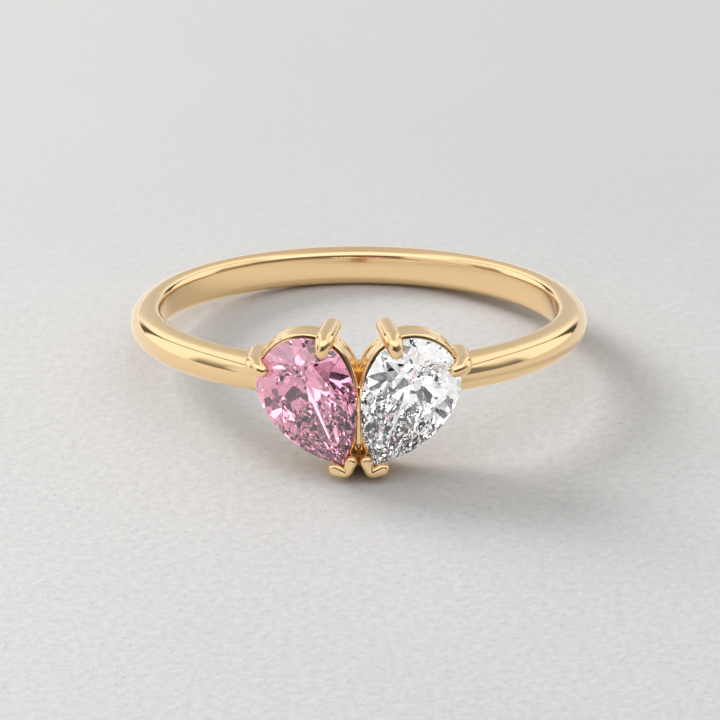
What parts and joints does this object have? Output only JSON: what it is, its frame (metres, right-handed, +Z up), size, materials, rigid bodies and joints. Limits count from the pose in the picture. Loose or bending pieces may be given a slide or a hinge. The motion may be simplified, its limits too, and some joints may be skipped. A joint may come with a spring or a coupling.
{
  "type": "finger ring",
  "caption": "Gold finger ring whose slim band carries a pink and a white pear stone side by side, in joined claw collars, points together.",
  "frame": {"origin": "on the surface the ring lies on, under the middle of its outline", "axes": "+Z up, stones towards -Y, band away from them along +Y, pink stone on the -X side; the ring lies on its side, so its finger hole leans 9 degrees from +Z towards +Y"},
  "size_m": [0.019, 0.0206, 0.0064],
  "materials": {
    "gold": "polished",
    "pink_gem": "faceted and polished",
    "white_gem": "faceted and polished"
  },
  "bodies": {
    "root": {"band_with_settings": "gold", "pink_stone": "pink_gem", "white_stone": "white_gem"}
  },
  "joints": []
}
